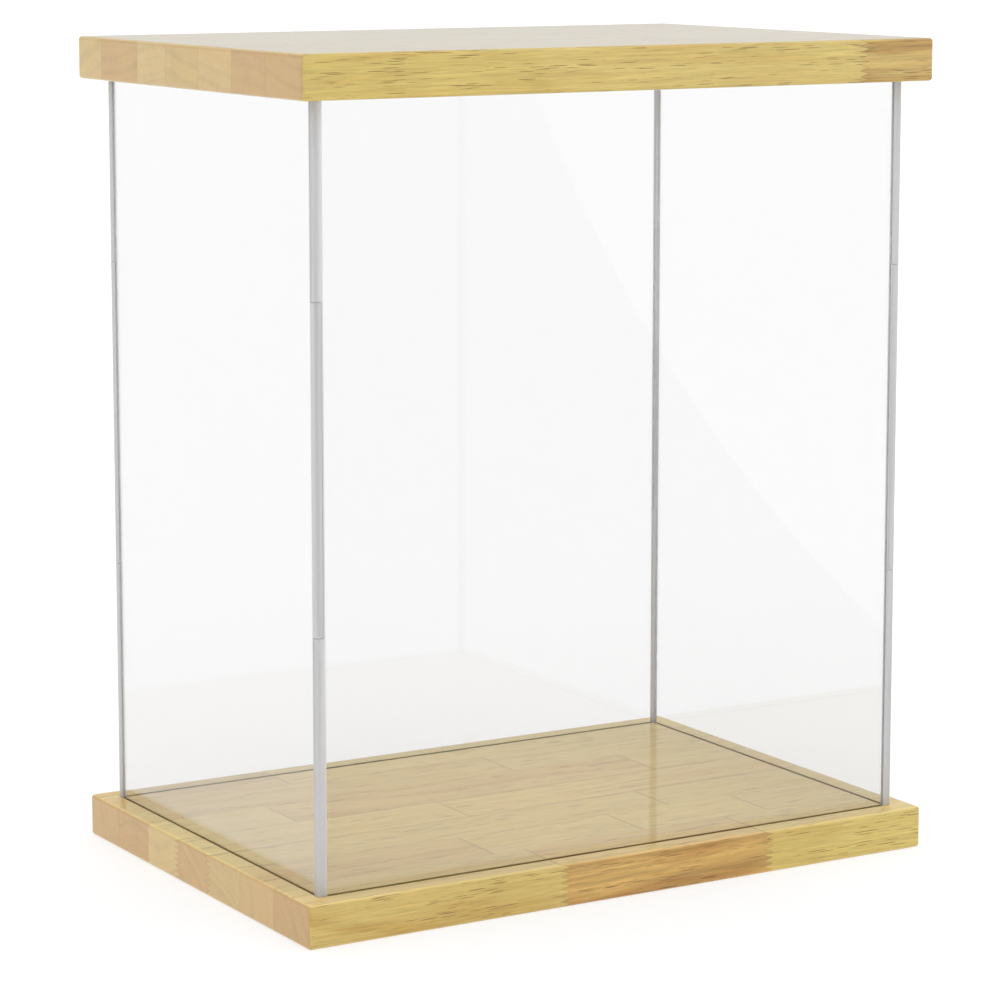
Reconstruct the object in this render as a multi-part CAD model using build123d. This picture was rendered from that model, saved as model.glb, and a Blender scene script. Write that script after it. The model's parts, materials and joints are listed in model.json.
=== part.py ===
"""Display case: a wooden base and a lift-off wooden lid, glued up from finger-jointed staves,
with four clear acrylic panels that interlock at their corners and stand in grooves in both boards.

Millimetres. The origin is the middle of the base's underside. +X runs along the case's width,
+Y from its front to its back, and +Z up.
"""

import os

from build123d import *

# Overall size
CASE_WIDTH = 300.0
CASE_DEPTH = 205.0
CASE_HEIGHT = 350.0

# Boards
BOARD_THICKNESS = 18.0
ARRIS_RADIUS = 1.5

# Acrylic panels
SHEET_THICKNESS = 3.0
PANEL_INSET = 9.5  # from a board's edge to the outer face of the panel beside it
PANEL_GAP = 0.1  # between two panels wherever they meet
LOWER_FINGER = 109.0  # height of the front and back panels' lower corner fingers
MIDDLE_FINGER = 132.0  # height of the side panels' corner fingers

# Grooves
GROOVE_DEPTH = 5.0
GROOVE_CLEARANCE = 0.2  # on each side of a panel

# Comb joints between staves
TOOTH_LENGTH = 4.5
TEETH = 7  # across the thickness of a board

# Rows of staves, front to back: each row's width, then the lengths of its staves, left to right.
# Both are shared out over the board's real depth and width in these proportions.
BASE_ROWS = [
    (30.5, [118.5, 101.0, 80.5]),
    (29.5, [104.0, 74.0, 64.0, 58.0]),
    (29.5, [210.0, 90.0]),
    (28.5, [126.0, 174.0]),
    (28.5, [60.0, 180.0, 60.0]),
    (29.5, [184.0, 116.0]),
    (29.0, [88.0, 212.0]),
]
LID_ROWS = [
    (30.5, [264.0, 36.0]),
    (29.0, [140.0, 160.0]),
    (29.5, [75.0, 225.0]),
    (30.0, [195.0, 105.0]),
    (27.0, [110.0, 190.0]),
    (35.0, [230.0, 70.0]),
    (24.0, [165.0, 135.0]),
]
BASE_COMBED_ROWS = (3, 4)  # these rows meet the next row behind in a comb joint, the rest are plain
LID_COMBED_ROWS = ()

# Worked out from the sizes above
BEYOND = 5.0  # how far a cutting shape reaches past the board
WALL_WIDTH = CASE_WIDTH - 2 * PANEL_INSET  # over the outer faces of the side panels
WALL_DEPTH = CASE_DEPTH - 2 * PANEL_INSET  # over the outer faces of the front and back panels
WALL_BOTTOM = BOARD_THICKNESS - GROOVE_DEPTH
WALL_TOP = CASE_HEIGHT - BOARD_THICKNESS + GROOVE_DEPTH
SIDE_FINGER_BOTTOM = WALL_BOTTOM + LOWER_FINGER
SIDE_FINGER_TOP = SIDE_FINGER_BOTTOM + MIDDLE_FINGER


def grooved_board():
    """One board, lying at Z = 0 with its groove in the top face."""
    low_middle = (Align.CENTER, Align.CENTER, Align.MIN)
    blank = Box(CASE_WIDTH, CASE_DEPTH, BOARD_THICKNESS, align=low_middle)
    blank = fillet(blank.edges(), ARRIS_RADIUS)
    outer = Rectangle(WALL_WIDTH + 2 * GROOVE_CLEARANCE, WALL_DEPTH + 2 * GROOVE_CLEARANCE)
    inset = SHEET_THICKNESS + GROOVE_CLEARANCE
    inner = Rectangle(WALL_WIDTH - 2 * inset, WALL_DEPTH - 2 * inset)
    groove = extrude(Plane.XY.offset(WALL_BOTTOM) * (outer - inner), GROOVE_DEPTH + BEYOND)
    return blank - groove


def comb_line(place):
    """A comb joint's line across the board's thickness at a place along it, from bottom to top."""
    pitch = BOARD_THICKNESS / TEETH
    root = place - TOOTH_LENGTH / 2
    tip = place + TOOTH_LENGTH / 2
    points = [(root, -BEYOND), (root, 0.0)]
    for tooth in range(TEETH):
        points.append((tip, (tooth + 0.5) * pitch))
        points.append((root, (tooth + 1) * pitch))
    points.append((root, BOARD_THICKNESS + BEYOND))
    return points


def plain_line(place):
    """A straight joint or a board's end across the thickness, from bottom to top."""
    return [(place, -BEYOND), (place, BOARD_THICKNESS + BEYOND)]


def joint_places(sizes, total):
    """Where the joints between neighbours lie when the sizes are shared out over the total."""
    share = total / sum(sizes)
    places = []
    reached = -total / 2
    for size in sizes[:-1]:
        reached += size * share
        places.append(reached)
    return places


def slices(lines, plane, reach):
    """Cutting shapes between neighbouring joint lines, drawn on a plane and run out both ways."""
    shapes = []
    for low, high in zip(lines, lines[1:]):
        outline = Polyline(*low, *reversed(high), close=True)
        shapes.append(extrude(plane * make_face(outline), reach, both=True))
    return shapes


def row_slices(rows, combed_rows):
    """One cutting shape for each row of staves, front to back."""
    widths = [width for width, lengths in rows]
    lines = [plain_line(-CASE_DEPTH / 2 - BEYOND)]
    for number, place in enumerate(joint_places(widths, CASE_DEPTH), start=1):
        lines.append(comb_line(place) if number in combed_rows else plain_line(place))
    lines.append(plain_line(CASE_DEPTH / 2 + BEYOND))
    return slices(lines, Plane.YZ, CASE_WIDTH / 2 + BEYOND)


def stave_slices(lengths):
    """One cutting shape for each stave of a row, left to right."""
    lines = [plain_line(-CASE_WIDTH / 2 - BEYOND)]
    lines += [comb_line(place) for place in joint_places(lengths, CASE_WIDTH)]
    lines.append(plain_line(CASE_WIDTH / 2 + BEYOND))
    across = Plane(origin=(0, 0, 0), x_dir=(1, 0, 0), z_dir=(0, -1, 0))
    return slices(lines, across, CASE_DEPTH / 2 + BEYOND)


def staves(board_name, rows, combed_rows):
    """The board's staves by name, in the place of a board that lies at Z = 0."""
    board = grooved_board()
    pieces = {}
    for row_number, row_slice in enumerate(row_slices(rows, combed_rows), start=1):
        row = board & row_slice
        lengths = rows[row_number - 1][1]
        for stave_number, stave_slice in enumerate(stave_slices(lengths), start=1):
            name = f"{board_name}_row{row_number}_stave{stave_number}"
            pieces[name] = row & stave_slice
    return pieces


def turned_over(piece):
    """A piece of the lid, mirrored so that its groove faces down, at the top of the case."""
    return Pos(0, 0, CASE_HEIGHT) * mirror(piece, about=Plane.XY)


def standing_panel(core_width, full_width, finger_ranges):
    """A panel's outline, standing in X and Z: a plain core with fingers out at both sides."""
    core = Pos(0, (WALL_BOTTOM + WALL_TOP) / 2) * Rectangle(core_width, WALL_TOP - WALL_BOTTOM)
    for low, high in finger_ranges:
        core += Pos(0, (low + high) / 2) * Rectangle(full_width, high - low)
    return core


def long_panel():
    """The front panel, centred on Y = 0. Its fingers fill the corners at the top and bottom."""
    core_width = WALL_WIDTH - 2 * (SHEET_THICKNESS + PANEL_GAP)
    fingers = [
        (WALL_BOTTOM, SIDE_FINGER_BOTTOM - PANEL_GAP),
        (SIDE_FINGER_TOP + PANEL_GAP, WALL_TOP),
    ]
    outline = standing_panel(core_width, WALL_WIDTH, fingers)
    return extrude(Plane.XZ * outline, SHEET_THICKNESS / 2, both=True)


def side_panel():
    """The left panel, centred on X = 0. Its fingers fill the corners at mid height."""
    core_width = WALL_DEPTH - 2 * (SHEET_THICKNESS + PANEL_GAP)
    outline = standing_panel(core_width, WALL_DEPTH, [(SIDE_FINGER_BOTTOM, SIDE_FINGER_TOP)])
    return extrude(Plane.YZ * outline, SHEET_THICKNESS / 2, both=True)


def panels():
    """The four acrylic panels by name, in place."""
    across = (WALL_WIDTH - SHEET_THICKNESS) / 2
    back = (WALL_DEPTH - SHEET_THICKNESS) / 2
    return {
        "front_panel": Pos(0, -back, 0) * long_panel(),
        "back_panel": Pos(0, back, 0) * long_panel(),
        "left_panel": Pos(-across, 0, 0) * side_panel(),
        "right_panel": Pos(across, 0, 0) * side_panel(),
    }


def write_parts():
    """Every piece of the case, one file each."""
    pieces = staves("base", BASE_ROWS, BASE_COMBED_ROWS)
    for name, piece in staves("lid", LID_ROWS, LID_COMBED_ROWS).items():
        pieces[name] = turned_over(piece)
    pieces.update(panels())
    os.makedirs("parts", exist_ok=True)
    for name, piece in pieces.items():
        export_step(piece, f"parts/{name}.step")
        print(name, round(piece.volume), "mm3")


write_parts()
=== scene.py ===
"""Looks of the display case: lacquered rubberwood boards and clear acrylic panels, in a white studio.

Metres. The frame's own axes: +X along the width, +Y from front to back, +Z up.
"""

import json
import math
import random

import bmesh
import bpy
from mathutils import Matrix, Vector


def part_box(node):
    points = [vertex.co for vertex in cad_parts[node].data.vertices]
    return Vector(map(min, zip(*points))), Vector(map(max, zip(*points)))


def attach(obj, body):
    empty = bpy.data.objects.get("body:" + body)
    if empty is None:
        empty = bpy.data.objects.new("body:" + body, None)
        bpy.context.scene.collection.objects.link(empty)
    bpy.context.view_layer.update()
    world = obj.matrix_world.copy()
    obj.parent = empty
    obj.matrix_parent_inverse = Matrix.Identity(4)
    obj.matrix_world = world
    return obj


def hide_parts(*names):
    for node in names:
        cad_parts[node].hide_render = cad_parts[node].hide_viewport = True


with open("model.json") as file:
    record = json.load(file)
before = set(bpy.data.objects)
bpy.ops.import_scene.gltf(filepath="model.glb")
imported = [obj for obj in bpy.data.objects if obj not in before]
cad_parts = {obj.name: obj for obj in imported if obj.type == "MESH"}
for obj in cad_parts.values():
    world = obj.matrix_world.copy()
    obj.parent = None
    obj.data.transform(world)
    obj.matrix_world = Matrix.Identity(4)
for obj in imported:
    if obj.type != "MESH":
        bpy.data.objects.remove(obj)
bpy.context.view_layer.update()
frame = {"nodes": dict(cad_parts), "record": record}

MM = 0.001
SLOTS = {part["node"]: part["material_slot"] for part in frame["record"]["subparts"]}
PANELS = sorted(node for node, slot in SLOTS.items() if slot == "clear_acrylic")
STAVES = sorted(node for node in SLOTS if node not in PANELS)

# Camera and studio
CAMERA_AT = (-0.7729, -1.2860, 0.4081)
CAMERA_TURN = math.radians(30.96)  # from looking straight at the front, towards the right end
CAMERA_TILT = math.radians(8.42)  # below level
CAMERA_LENS = 126.9  # millimetres, as the sensor's width
SENSOR_WIDTH = 36.0
CAMERA_SHIFT = -0.08
WHITE = (1.0, 1.0, 1.0, 1.0)
FLOOR_RADIUS = 20.0
TABLE_WHITE = 0.40
TABLE_LIGHT = 0.625
SKY_LIGHT = 1.22
HORIZON_LIGHT = 0.74
DIM_BAND = (0.3, 0.6)  # where the sky starts and stops growing brighter, as the sine of the height's angle
SOFTBOX_AT = (0.818, -0.098, 0.572)
SOFTBOX_TURN = math.radians(37)
SOFTBOX_WIDTH = 1.56
SOFTBOX_POWER = 3.6
INNER_LAMP_POWER = 0.30
INNER_LAMP_WIDTH = 0.15
INNER_LAMP_GAP = 2 * MM  # from the lid's underside

# Staves, in millimetres as their wood is
TOOTH_LENGTH = 4.5
TEETH = 7
COMBED_ROWS = {"base": (3, 4), "lid": ()}  # these rows meet the row behind in a comb joint
GLUE_LINE = 0.16  # half the width that a glue line darkens
COMB_LINE = 0.55  # the same, measured along the teeth
HEART_AWAY = (30, 75)  # nearest and farthest that a stave was sawn from the heart of its log
LOG_REACH = 500  # farthest that it was sawn from the middle of the log's length
GRAIN_LEAN = (1.2, 1.6)  # most degrees that the grain leans about Y and about Z

# How often each part of the grain changes in a millimetre: along the log, and across it both ways
CLOUDS = (0.012, 0.11, 0.11)
STREAKS = (0.012, 0.6, 0.6)
FIBRES = (0.05, 1.5, 1.5)
SCRATCHES = (0.09, 3.6, 3.6)
PORES = (0.05, 2.0, 2.0)
PORE_CROWDS = (0.02, 0.25, 0.25)
RING_BENDS = (0.012, 0.02, 0.02)
RINGS = 0.22
RING_WANDER = 16.0  # how many millimetres the rings wander

# Panels
POLISHED_EDGE = 0.25 * MM  # how wide the polished edges are rounded
JOINT_CEMENT = 0.75 * MM  # how far past a corner joint its cement has crept
SAME_PLACE = 0.01 * MM  # corners nearer than this are one corner
ACRYLIC_IOR = 1.49
CLEAR, CUT, BONDED = range(3)  # a panel's finishes: its faces, its cut edges, the insides of its joints

# Lacquered rubberwood, as linear red, green and blue: a stave's ground tone, its warmer patches, its pores
TONES = {
    "pale_stave": ((0.610, 0.465, 0.135), (0.565, 0.400, 0.105), (0.17, 0.072, 0.014)),
    "golden_stave": ((0.630, 0.475, 0.150), (0.565, 0.385, 0.100), (0.14, 0.060, 0.012)),
    "streaky_stave": ((0.600, 0.425, 0.125), (0.450, 0.265, 0.060), (0.15, 0.052, 0.010)),
    "brown_stave": ((0.560, 0.345, 0.100), (0.370, 0.180, 0.038), (0.12, 0.040, 0.007)),
}
STRONG_FRONTS = ("base_row1_stave2", "base_row1_stave3", "lid_row1_stave1", "lid_row1_stave2")
MILDER = 0.4  # how much of its own tone any other face keeps; the rest is golden
BOLD_GRAIN = ("base_row1_stave2", "lid_row1_stave2")
BOLD_STREAKS = 1.1  # how much streaks darken those two staves
FAINT_STREAKS = 0.4  # and how much they darken the others
TOP_PAINTED_LIGHT = (1.32, 1.32, 1.45)  # painted light: how much paler the top of the base is painted than its front, for light that the lid keeps off it; the lid has no painted paler top
END_GRAIN = (0.94, 0.87, 1.16)  # how the tone of a cut end differs from the tone along the grain
REDDER_ENDS = ("lid_row1", "lid_row2", "lid_row6", "base_row1", "base_row4", "base_row6")
PALER_ENDS = ("lid_row3", "lid_row5", "lid_row7", "base_row2", "base_row5")
REDDER = (0.95, 0.88, 0.88)
PALER = (1.04, 1.07, 1.10)
LACQUER_IOR = 1.5
PORE_RELIEF = 0.05 * MM


class Recipe:
    """A material while it is being put together."""

    def __init__(self, name):
        self.material = bpy.data.materials.new(name)
        self.material.use_nodes = True
        self.tree = self.material.node_tree
        self.tree.nodes.clear()

    def add(self, kind, inputs=None, **settings):
        """A node with its settings, and with each input linked to a socket or set to a value."""
        node = self.tree.nodes.new(kind)
        for name, value in settings.items():
            setattr(node, name, value)
        for key, value in (inputs or {}).items():
            if isinstance(value, bpy.types.NodeSocket):
                self.tree.links.new(value, node.inputs[key])
            else:
                node.inputs[key].default_value = value
        return node

    def space(self):
        """Places on the piece, in metres in the frame."""
        return self.add("ShaderNodeTexCoord").outputs["Object"]

    def maths(self, first, operation, second=0.0, third=0.0):
        """The result of a Math node."""
        return self.add("ShaderNodeMath", {0: first, 1: second, 2: third}, operation=operation).outputs[0]

    def times(self, vector, factors):
        """A place or a colour with its three parts multiplied, as for grain that is longer along X."""
        inputs = {0: vector, 1: factors}
        return self.add("ShaderNodeVectorMath", inputs, operation="MULTIPLY").outputs[0]

    def noise(self, place, detail, roughness=0.5):
        """Cloudy noise between 0 and 1 with features about one unit of place across."""
        inputs = {"Vector": place, "Scale": 1.0, "Detail": detail, "Roughness": roughness}
        return self.add("ShaderNodeTexNoise", inputs).outputs["Fac"]

    def between(self, value, low, high, low_result=0.0, high_result=1.0):
        """A value's way from low to high, smoothed and clamped, as a number between the results."""
        inputs = {"Value": value, "From Min": low, "From Max": high}
        inputs.update({"To Min": low_result, "To Max": high_result})
        return self.add("ShaderNodeMapRange", inputs, interpolation_type="SMOOTHSTEP").outputs[0]

    def mixed(self, factor, first, second):
        """Two colours mixed: all of the first where the factor is 0, all of the second where it is 1."""
        node = self.add("ShaderNodeMix", data_type="RGBA")
        for key, value in (("Factor_Float", factor), ("A_Color", first), ("B_Color", second)):
            socket = next(s for s in node.inputs if s.identifier == key)
            if isinstance(value, bpy.types.NodeSocket):
                self.tree.links.new(value, socket)
            else:
                socket.default_value = value
        return next(s for s in node.outputs if s.identifier == "Result_Color")

    def ramp(self, value, stops):
        """A colour for a value between 0 and 1."""
        node = self.add("ShaderNodeValToRGB", {"Fac": value})
        bands = node.color_ramp.elements
        while len(bands) < len(stops):
            bands.new(0.5)
        for band, (position, colour) in zip(bands, stops):
            band.position = position
            band.color = (*colour, 1.0)
        return node.outputs["Color"]

    def finished(self, inputs):
        """The material, with its shader's inputs given and the shader joined to the output."""
        shader = self.add("ShaderNodeBsdfPrincipled", inputs)
        self.add("ShaderNodeOutputMaterial", {"Surface": shader.outputs[0]})
        return self.material


def board_of(node):
    """The lowest and highest corners of the board that a stave belongs to, in millimetres."""
    board = node.split("_")[0]
    boxes = [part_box(stave) for stave in STAVES if stave.startswith(board)]
    low = [min(box[0][axis] for box in boxes) / MM for axis in range(3)]
    high = [max(box[1][axis] for box in boxes) / MM for axis in range(3)]
    return low, high


def glue_lines(recipe, place, node):
    """1 on the stave's glue lines and 0 away from them. The place is in millimetres in the frame."""
    axes = recipe.add("ShaderNodeSeparateXYZ", {0: place}).outputs
    board_low, board_high = board_of(node)
    low, high = ([value / MM for value in corner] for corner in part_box(node))
    board, row = node.split("_")[0], int(node.split("_")[1][3:])
    pitch = (board_high[2] - board_low[2]) / TEETH
    height = recipe.maths(axes[2], "SUBTRACT", board_low[2])
    wave = recipe.maths(height, "PINGPONG", pitch / 2)
    tooth = recipe.maths(wave, "MULTIPLY_ADD", 2 * TOOTH_LENGTH / pitch, -TOOTH_LENGTH / 2)
    combed = {  # for each axis and end, whether the joint there is a comb
        (0, 0): True,
        (0, 1): True,
        (1, 0): row - 1 in COMBED_ROWS[board],
        (1, 1): row in COMBED_ROWS[board],
    }
    lines = []
    for (axis, end), is_combed in combed.items():
        edge = (low, high)[end][axis]
        if abs(edge - (board_low, board_high)[end][axis]) < GLUE_LINE:
            continue
        if is_combed:
            middle = edge + TOOTH_LENGTH / 2 * (1, -1)[end]
            line = recipe.maths(tooth, "ADD", middle)
            width = COMB_LINE
        else:
            line = edge
            width = GLUE_LINE
        off = recipe.maths(recipe.maths(axes[axis], "SUBTRACT", line), "ABSOLUTE")
        lines.append(recipe.between(off, 0.0, width, 1.0, 0.0))
    total = lines[0]
    for line in lines[1:]:
        total = recipe.maths(total, "MAXIMUM", line)
    return total


def stave_tones(node, share, brightness):
    """The stave's ground, patch and pore tones, with a share of its own tones and the rest golden."""
    tones = []
    for own, golden in zip(TONES[SLOTS[node]], TONES["golden_stave"]):
        mix = [brightness * (share * a + (1 - share) * b) for a, b in zip(own, golden)]
        tones.append((*mix, 1.0))
    return tones


def end_tint(node):
    """What the stave's colour is multiplied by on its cut ends."""
    row = node.rsplit("_", 1)[0]
    shift = REDDER if row in REDDER_ENDS else PALER if row in PALER_ENDS else (1.0, 1.0, 1.0)
    return tuple(a * b for a, b in zip(END_GRAIN, shift))


def facing(recipe, axis):
    """How far a face turns towards the plus end of an axis."""
    normal = recipe.add("ShaderNodeTexCoord").outputs["Normal"]
    return recipe.add("ShaderNodeSeparateXYZ", {0: normal}).outputs[axis]


def log_place(recipe, chance):
    """The stave's own place in a log, in millimetres: X runs along the log and the heart is at Y = Z = 0."""
    away = chance.uniform(*HEART_AWAY)
    turn = chance.uniform(0, 2 * math.pi)
    start = (chance.uniform(-LOG_REACH, LOG_REACH), away * math.cos(turn), away * math.sin(turn))
    lean = (0.0, *(math.radians(chance.uniform(-most, most)) for most in GRAIN_LEAN))
    inputs = {"Vector": recipe.space(), "Location": start, "Rotation": lean, "Scale": (1 / MM,) * 3}
    return recipe.add("ShaderNodeMapping", inputs).outputs[0]


def growth_rings(recipe, log):
    """Rings round the heart, wandering along the log, between 0 and 1."""
    bend = recipe.noise(recipe.times(log, RING_BENDS), 1.0)
    across = {0: recipe.times(log, (0.0, 1.0, 1.0))}
    radius = recipe.add("ShaderNodeVectorMath", across, operation="LENGTH").outputs["Value"]
    wandering = recipe.maths(bend, "MULTIPLY_ADD", RING_WANDER, radius)
    inputs = {"W": wandering, "Scale": RINGS, "Detail": 3.0, "Roughness": 0.55}
    return recipe.add("ShaderNodeTexNoise", inputs, noise_dimensions="1D").outputs["Fac"]


def open_pores(recipe, log):
    """1 in the wood's open pores, which are short dark dashes along the grain, and 0 between them."""
    inputs = {"Vector": recipe.times(log, PORES), "Scale": 1.0, "Randomness": 1.0}
    away = recipe.add("ShaderNodeTexVoronoi", inputs).outputs["Distance"]
    crowd = recipe.noise(recipe.times(log, PORE_CROWDS), 3.0)
    size = recipe.between(crowd, 0.35, 0.67, 0.05, 0.31)
    return recipe.between(recipe.maths(away, "DIVIDE", size), 0.75, 1.05, 1.0, 0.0)


def face_tones(recipe, node, brightness):
    """The stave's ground, patch and pore tones, which a few staves have stronger on their front faces."""
    milder = stave_tones(node, MILDER, brightness)
    if node not in STRONG_FRONTS:
        return milder
    front = recipe.between(facing(recipe, 1), -0.9, -0.4, 1.0, 0.0)
    return [recipe.mixed(front, a, b) for a, b in zip(milder, stave_tones(node, 1.0, brightness))]


def long_grain(recipe, node, log, fibres, colour):
    """A colour darkened by the streaks, fibres and fine scratches that run along the grain."""
    boldness = BOLD_STREAKS if node in BOLD_GRAIN else FAINT_STREAKS
    streaks = recipe.noise(recipe.times(log, STREAKS), 4.0, 0.6)
    scratches = recipe.between(recipe.noise(recipe.times(log, SCRATCHES), 2.0), 0.55, 0.72)
    shade = recipe.maths(streaks, "MULTIPLY_ADD", boldness, 0.59 - boldness / 2)
    shade = recipe.maths(fibres, "MULTIPLY_ADD", 0.90, shade)
    shade = recipe.maths(scratches, "MULTIPLY_ADD", -0.16, shade)
    return recipe.times(colour, shade)


def cut_end(recipe, node, rings, clouds, colour):
    """The colour of the stave's cut ends, where its rings show as faint arcs."""
    arcs = recipe.maths(recipe.between(rings, 0.3, 0.6), "MULTIPLY_ADD", 0.10, 0.81)
    arcs = recipe.maths(clouds, "MULTIPLY_ADD", 0.28, arcs)
    return recipe.times(recipe.times(colour, end_tint(node)), arcs)


def lacquered(recipe, colour, fibres, pores):
    """The finished wood, under a thin lacquer that has sunk a little into its pores and fibres."""
    roughness = recipe.maths(fibres, "MULTIPLY_ADD", 0.06, 0.02)
    roughness = recipe.maths(pores, "MULTIPLY_ADD", 0.15, roughness)
    relief = recipe.maths(pores, "MULTIPLY_ADD", -0.8, recipe.maths(fibres, "MULTIPLY", 0.35))
    bump_inputs = {"Strength": 0.12, "Distance": PORE_RELIEF, "Height": relief}
    bump = recipe.add("ShaderNodeBump", bump_inputs).outputs[0]
    return recipe.finished({"Base Color": colour, "Roughness": roughness, "Normal": bump, "IOR": LACQUER_IOR})


def stave_wood(node):
    """Lacquered rubberwood for one stave: its own piece of a log, with the grain along X."""
    chance = random.Random(node)
    recipe = Recipe(f"{node}_wood")
    brightness = chance.uniform(0.97, 1.03)
    ground, patch, pore_tone = face_tones(recipe, node, brightness)

    log = log_place(recipe, chance)
    rings = growth_rings(recipe, log)
    clouds = recipe.noise(recipe.times(log, CLOUDS), 3.0, 0.55)
    fibres = recipe.noise(recipe.times(log, FIBRES), 5.0, 0.7)
    pores = open_pores(recipe, log)

    warmth = recipe.maths(rings, "MULTIPLY_ADD", 0.45, recipe.maths(clouds, "MULTIPLY", 0.55))
    colour = recipe.mixed(recipe.between(warmth, 0.42, 0.66), ground, patch)
    colour = long_grain(recipe, node, log, fibres, colour)
    # Painted light: the base's upward faces are painted paler than its fronts, and their grain is also
    # fainter
    if node.startswith("base"):
        top = recipe.between(facing(recipe, 2), 0.4, 0.9)
        colour = recipe.mixed(top, colour, recipe.times(recipe.mixed(0.45, colour, ground), TOP_PAINTED_LIGHT))
    colour = recipe.mixed(recipe.maths(pores, "MULTIPLY", 0.9), colour, pore_tone)

    end_colour = cut_end(recipe, node, rings, clouds, recipe.mixed(0.75, colour, ground))
    end = recipe.between(recipe.maths(facing(recipe, 0), "ABSOLUTE"), 0.45, 0.9)
    colour = recipe.mixed(end, colour, end_colour)

    glue = glue_lines(recipe, recipe.times(recipe.space(), (1 / MM,) * 3), node)
    glue_tone = stave_tones(node, MILDER, 0.8 * brightness)[2]
    colour = recipe.mixed(recipe.maths(glue, "MULTIPLY", 0.5), colour, glue_tone)
    return lacquered(recipe, colour, fibres, pores)


def clear_acrylic():
    """The panels' faces: clear, with the faintest haze left by polishing."""
    recipe = Recipe("clear_acrylic")
    haze = recipe.noise(recipe.times(recipe.space(), (30.0, 30.0, 22.0)), 4.0)
    return recipe.finished({
        "Base Color": (0.920, 0.920, 0.920, 1.0),
        "Roughness": recipe.between(haze, 0.4, 0.8, 0.0, 0.02),
        "IOR": ACRYLIC_IOR,
        "Transmission Weight": 1.0,
    })


def cut_acrylic(name, dark, light, through):
    """Cut acrylic between two greys, faintly drawn along the cut, which lets a share of the light through."""
    recipe = Recipe(name)
    marks = recipe.noise(recipe.times(recipe.space(), (900.0, 900.0, 12.0)), 3.0)
    greys = [(position, (grey, grey, 1.01 * grey)) for position, grey in ((0.3, dark), (0.7, light))]
    return recipe.finished({
        "Base Color": recipe.ramp(marks, greys),
        "Roughness": recipe.between(marks, 0.3, 0.7, 0.45, 0.6),
        "IOR": ACRYLIC_IOR,
        "Transmission Weight": through,
    })


def finish_of(face, thin, along, blocks):
    """Which of the panel's finishes a face has, from which way it looks and where its middle is."""
    place = face.calc_center_median()
    flat_on = abs(face.normal[thin]) > 0.999
    in_block = not blocks[0] < place[along] < blocks[1]
    if flat_on and not in_block:
        return CLEAR
    if flat_on and face.normal[thin] * place[thin] < 0:
        return BONDED
    if abs(face.normal[along]) > 0.5 and not in_block:
        return BONDED
    return CUT


def panel(node, finishes):
    """A clear panel with rounded, polished edges, made from the plain panel's outline."""
    shape = bmesh.new()
    shape.from_mesh(frame["nodes"][node].data)
    bmesh.ops.remove_doubles(shape, verts=shape.verts, dist=SAME_PLACE)
    flat = math.radians(1)
    bmesh.ops.dissolve_limit(shape, angle_limit=flat, verts=shape.verts, edges=shape.edges)
    corners = [edge for edge in shape.edges if edge.calc_face_angle(0.0) > flat]
    bmesh.ops.bevel(
        shape, geom=corners, offset=POLISHED_EDGE, offset_type="OFFSET", segments=2, profile=0.5,
        affect="EDGES", clamp_overlap=True, material=-1,
    )
    low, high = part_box(node)
    thin = min(range(3), key=lambda axis: high[axis] - low[axis])
    along = 1 - thin
    joint = high[thin] - low[thin] + JOINT_CEMENT
    blocks = (low[along] + joint, high[along] - joint)
    across = Vector((along == 0, along == 1, 0))
    for start in blocks:
        bmesh.ops.bisect_plane(
            shape, geom=shape.verts[:] + shape.edges[:] + shape.faces[:], dist=SAME_PLACE / 10,
            plane_co=across * start, plane_no=across,
        )
    shape.normal_update()
    for face in shape.faces:
        face.material_index = finish_of(face, thin, along, blocks)
    mesh = bpy.data.meshes.new(f"clear_{node}")
    shape.to_mesh(mesh)
    shape.free()
    for finish in (CLEAR, CUT, BONDED):
        mesh.materials.append(finishes[finish])
    piece = bpy.data.objects.new(f"clear_{node}", mesh)
    bpy.context.scene.collection.objects.link(piece)
    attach(piece, "walls")
    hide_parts(node)


def set_camera():
    """The camera, in front of the case's left end and a little above its lid."""
    data = bpy.data.cameras.new("camera")
    data.lens = CAMERA_LENS
    data.sensor_width = SENSOR_WIDTH
    data.shift_y = CAMERA_SHIFT
    data.clip_start = 0.01
    data.clip_end = 100.0
    camera = bpy.data.objects.new("camera", data)
    camera.location = CAMERA_AT
    camera.rotation_euler = (math.pi / 2 - CAMERA_TILT, 0.0, -CAMERA_TURN)
    bpy.context.scene.collection.objects.link(camera)
    bpy.context.scene.camera = camera


def light_table():
    """A white table top, lit softly from below so that the case throws hardly any shadow."""
    recipe = Recipe("light_table")
    return recipe.finished({
        "Base Color": (TABLE_WHITE, TABLE_WHITE, TABLE_WHITE, 1.0),
        "Roughness": 0.9,
        "Emission Color": WHITE,
        "Emission Strength": TABLE_LIGHT,
    })


def lay_floor():
    """A plain white floor under the case."""
    shape = bmesh.new()
    bmesh.ops.create_circle(shape, cap_ends=True, segments=64, radius=FLOOR_RADIUS)
    mesh = bpy.data.meshes.new("floor")
    shape.to_mesh(mesh)
    shape.free()
    mesh.materials.append(light_table())
    floor = bpy.data.objects.new("floor", mesh)
    bpy.context.scene.collection.objects.link(floor)


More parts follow.
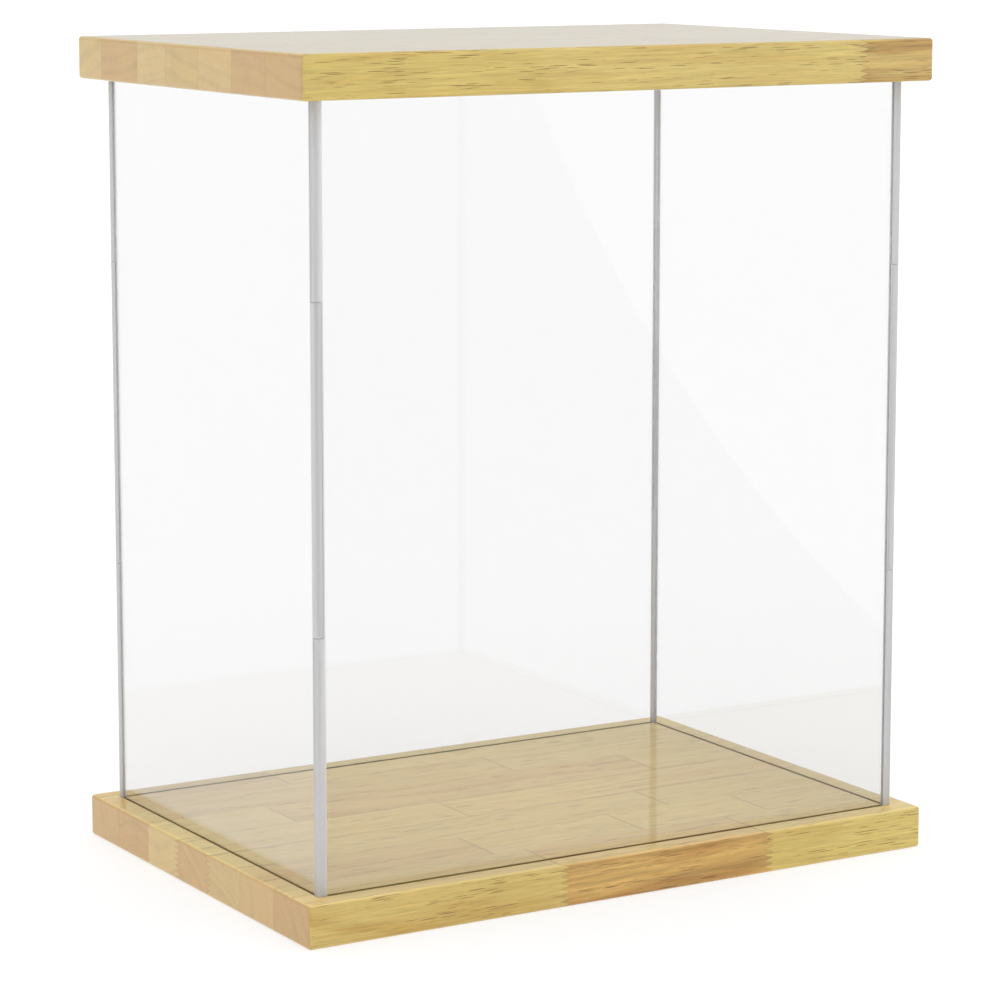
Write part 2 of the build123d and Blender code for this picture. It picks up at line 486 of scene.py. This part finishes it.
def soft_light(name, place, aim, shape, size, power):
    """A flat studio light that faces a point."""
    data = bpy.data.lights.new(name, "AREA")
    data.shape = shape
    data.size = size
    data.energy = power
    lamp = bpy.data.objects.new(name, data)
    lamp.location = place
    lamp.rotation_euler = (Vector(aim) - Vector(place)).to_track_quat("-Z", "Y").to_euler()
    bpy.context.scene.collection.objects.link(lamp)
    return lamp


def light_sky():
    """White light from all round, dimmer near the horizon."""
    world = bpy.data.worlds.new("studio")
    world.use_nodes = True
    sky = world.node_tree
    direction = sky.nodes.new("ShaderNodeTexCoord").outputs["Generated"]
    height = sky.nodes.new("ShaderNodeSeparateXYZ")
    sky.links.new(direction, height.inputs[0])
    strength = sky.nodes.new("ShaderNodeMapRange")
    sky.links.new(height.outputs["Z"], strength.inputs["Value"])
    strength.inputs["From Min"].default_value = DIM_BAND[0]
    strength.inputs["From Max"].default_value = DIM_BAND[1]
    strength.inputs["To Min"].default_value = HORIZON_LIGHT
    strength.inputs["To Max"].default_value = SKY_LIGHT
    background = sky.nodes["Background"]
    background.inputs["Color"].default_value = WHITE
    sky.links.new(strength.outputs["Result"], background.inputs["Strength"])
    bpy.context.scene.world = world


def hang_lamps():
    """A softbox whose round edge the front panel mirrors, and a lamp under the lid."""
    faced = [SOFTBOX_AT[0] - math.sin(SOFTBOX_TURN), SOFTBOX_AT[1] + math.cos(SOFTBOX_TURN), SOFTBOX_AT[2]]
    softbox = soft_light("round_softbox", SOFTBOX_AT, faced, "DISK", SOFTBOX_WIDTH, SOFTBOX_POWER)
    softbox.visible_diffuse = False
    softbox.visible_camera = False
    softbox.visible_transmission = False
    ceiling = (0.0, 0.0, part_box("lid_row4_stave1")[0].z - INNER_LAMP_GAP)
    lamp = soft_light("inner_lamp", ceiling, (0.0, 0.0, 0.0), "SQUARE", INNER_LAMP_WIDTH, INNER_LAMP_POWER)
    lamp.visible_camera = False


set_camera()
lay_floor()
light_sky()
hang_lamps()
bpy.context.scene.view_settings.view_transform = "Standard"
for stave in STAVES:
    frame["nodes"][stave].material_slots[0].material = stave_wood(stave)
finishes = {
    CLEAR: clear_acrylic(),
    CUT: cut_acrylic("polished_edge", dark=0.62, light=0.72, through=0.3),
    BONDED: cut_acrylic("bonded_joint", dark=0.90, light=0.97, through=0.6),
}
for sheet in PANELS:
    panel(sheet, finishes)
